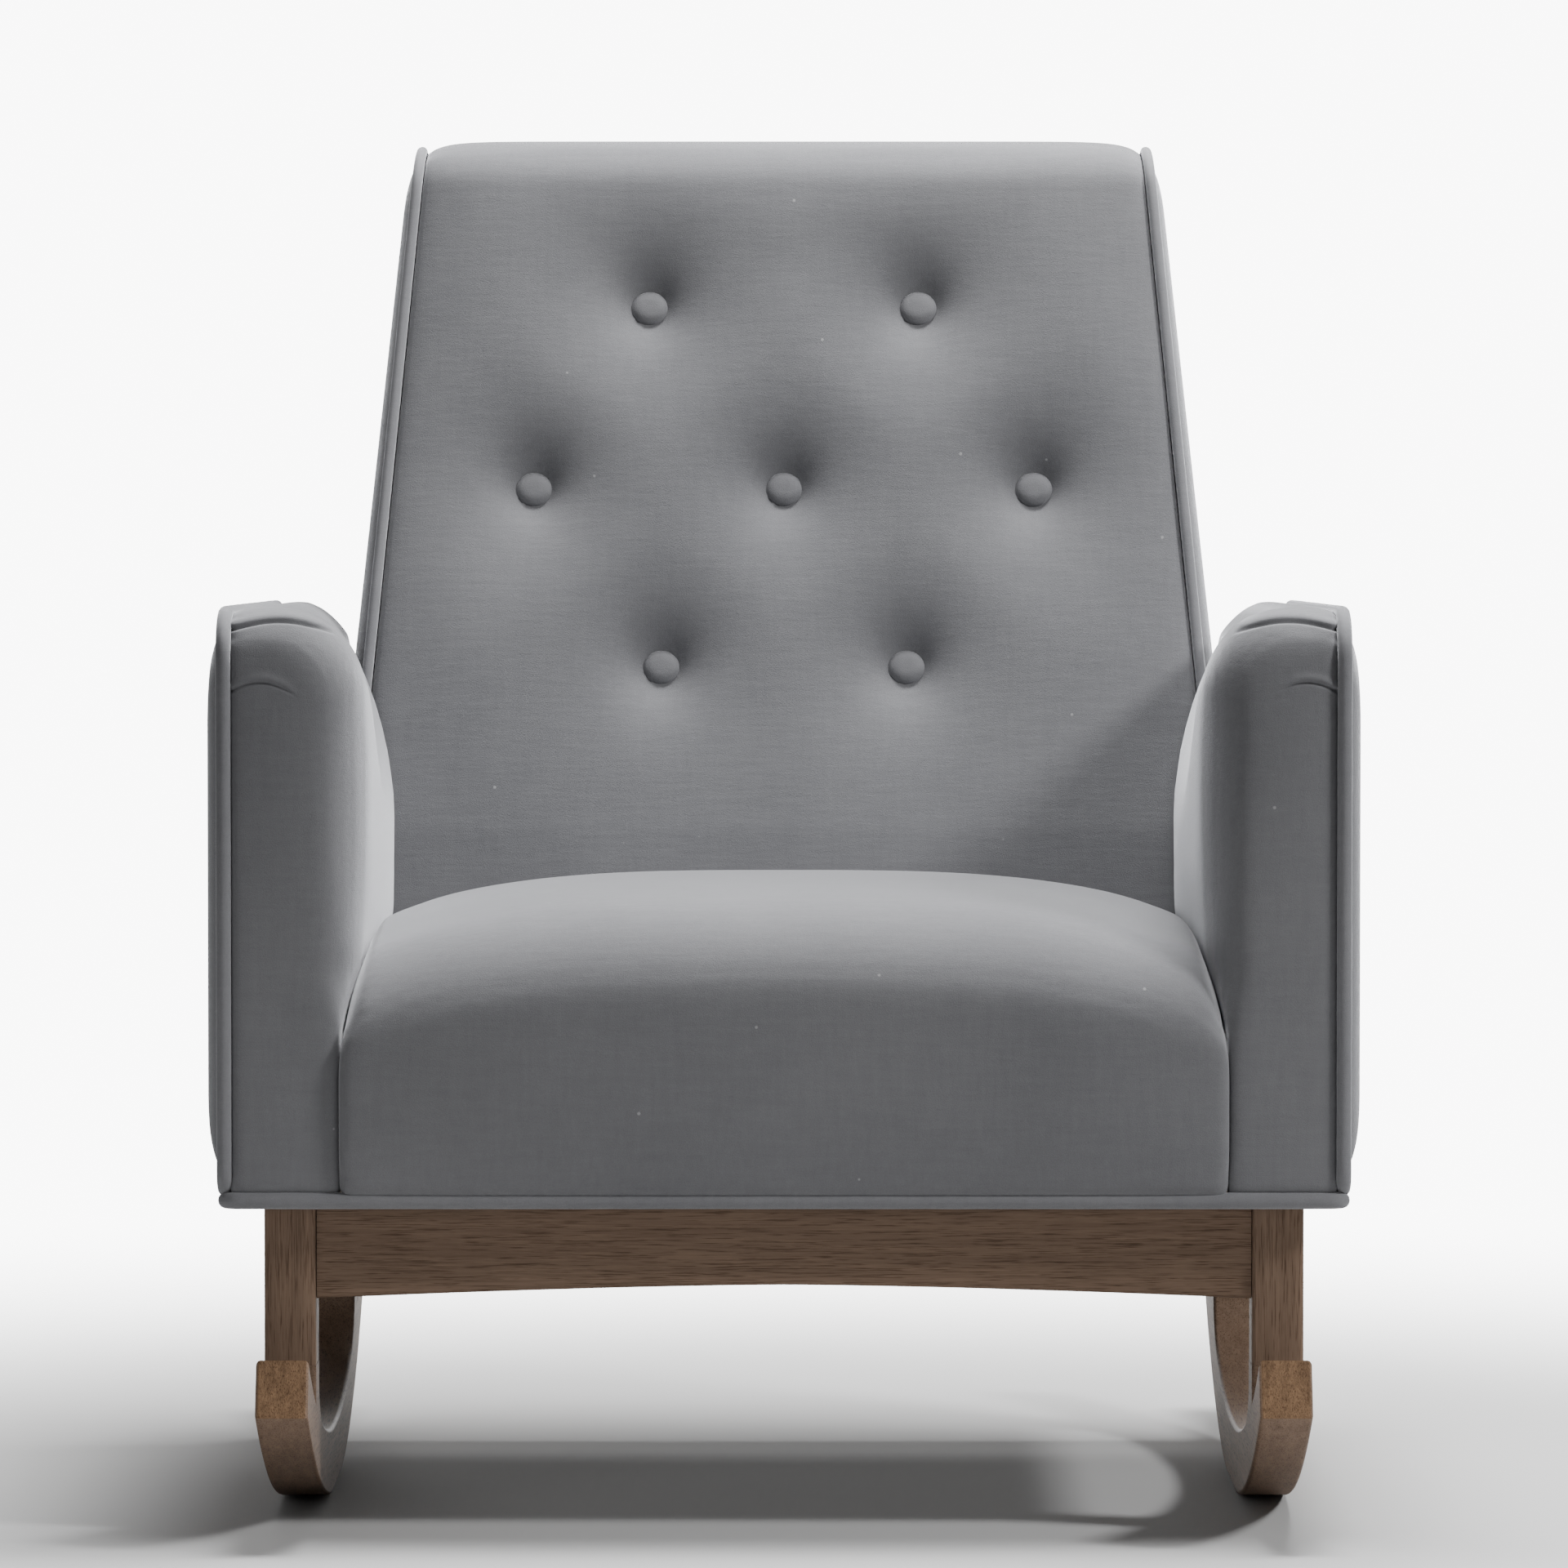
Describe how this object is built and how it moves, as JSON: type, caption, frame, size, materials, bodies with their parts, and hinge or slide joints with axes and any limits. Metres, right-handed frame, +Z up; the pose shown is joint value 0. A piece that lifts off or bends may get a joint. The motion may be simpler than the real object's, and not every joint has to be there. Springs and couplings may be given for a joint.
{
  "type": "rocking chair",
  "caption": "Upholstered rocking chair with a button-tufted leaning back, fixed seat cushion, padded arms and a wooden base on curved rockers.",
  "frame": {"origin": "on the floor, in the middle of the chair's plan", "axes": "+Z up, -Y the way the sitter faces, +X to the right of a person who stands in front of the chair"},
  "size_m": [0.7598, 0.85, 0.924],
  "materials": {
    "walnut": "satin",
    "frame_wood": "matte",
    "velvet": "matte",
    "lining": "matte",
    "webbing": "matte",
    "steel": "satin"
  },
  "bodies": {
    "root": {"arm_pad_left": "velvet", "arm_pad_right": "velvet", "arm_piping_left": "velvet", "arm_piping_right": "velvet", "arm_post_left": "frame_wood", "arm_post_right": "frame_wood", "arm_side_panel_left": "velvet", "arm_side_panel_right": "velvet", "arm_top_rail_left": "frame_wood", "arm_top_rail_right": "frame_wood", "back_cushion": "velvet", "back_lower_rail": "frame_wood", "back_outer_panel": "velvet", "back_piping_left": "velvet", "back_piping_right": "velvet", "back_side_panel_left": "velvet", "back_side_panel_right": "velvet", "back_stile_left": "frame_wood", "back_stile_right": "frame_wood", "back_top_rail": "frame_wood", "back_webbing_1": "webbing", "back_webbing_2": "webbing", "back_webbing_3": "webbing", "base_bolt_front_left": "steel", "base_bolt_front_right": "steel", "base_bolt_rear_left": "steel", "base_bolt_rear_right": "steel", "button_1": "velvet", "button_2": "velvet", "button_3": "velvet", "button_4": "velvet", "button_5": "velvet", "button_6": "velvet", "button_7": "velvet", "corner_block_front_left": "frame_wood", "corner_block_front_right": "frame_wood", "corner_block_rear_left": "frame_wood", "corner_block_rear_right": "frame_wood", "dust_cover": "lining", "front_apron": "walnut", "front_leg_left": "walnut", "front_leg_right": "walnut", "front_welt": "velvet", "rear_apron": "walnut", "rear_leg_left": "walnut", "rear_leg_right": "walnut", "rocker_left": "walnut", "rocker_right": "walnut", "seat_cushion": "velvet", "seat_front_rail": "frame_wood", "seat_rear_rail": "frame_wood", "seat_side_rail_left": "frame_wood", "seat_side_rail_right": "frame_wood", "seat_spring_1": "steel", "seat_spring_2": "steel", "seat_spring_3": "steel", "seat_spring_4": "steel", "seat_spring_5": "steel", "side_rail_left": "walnut", "side_rail_right": "walnut"}
  },
  "joints": []
}
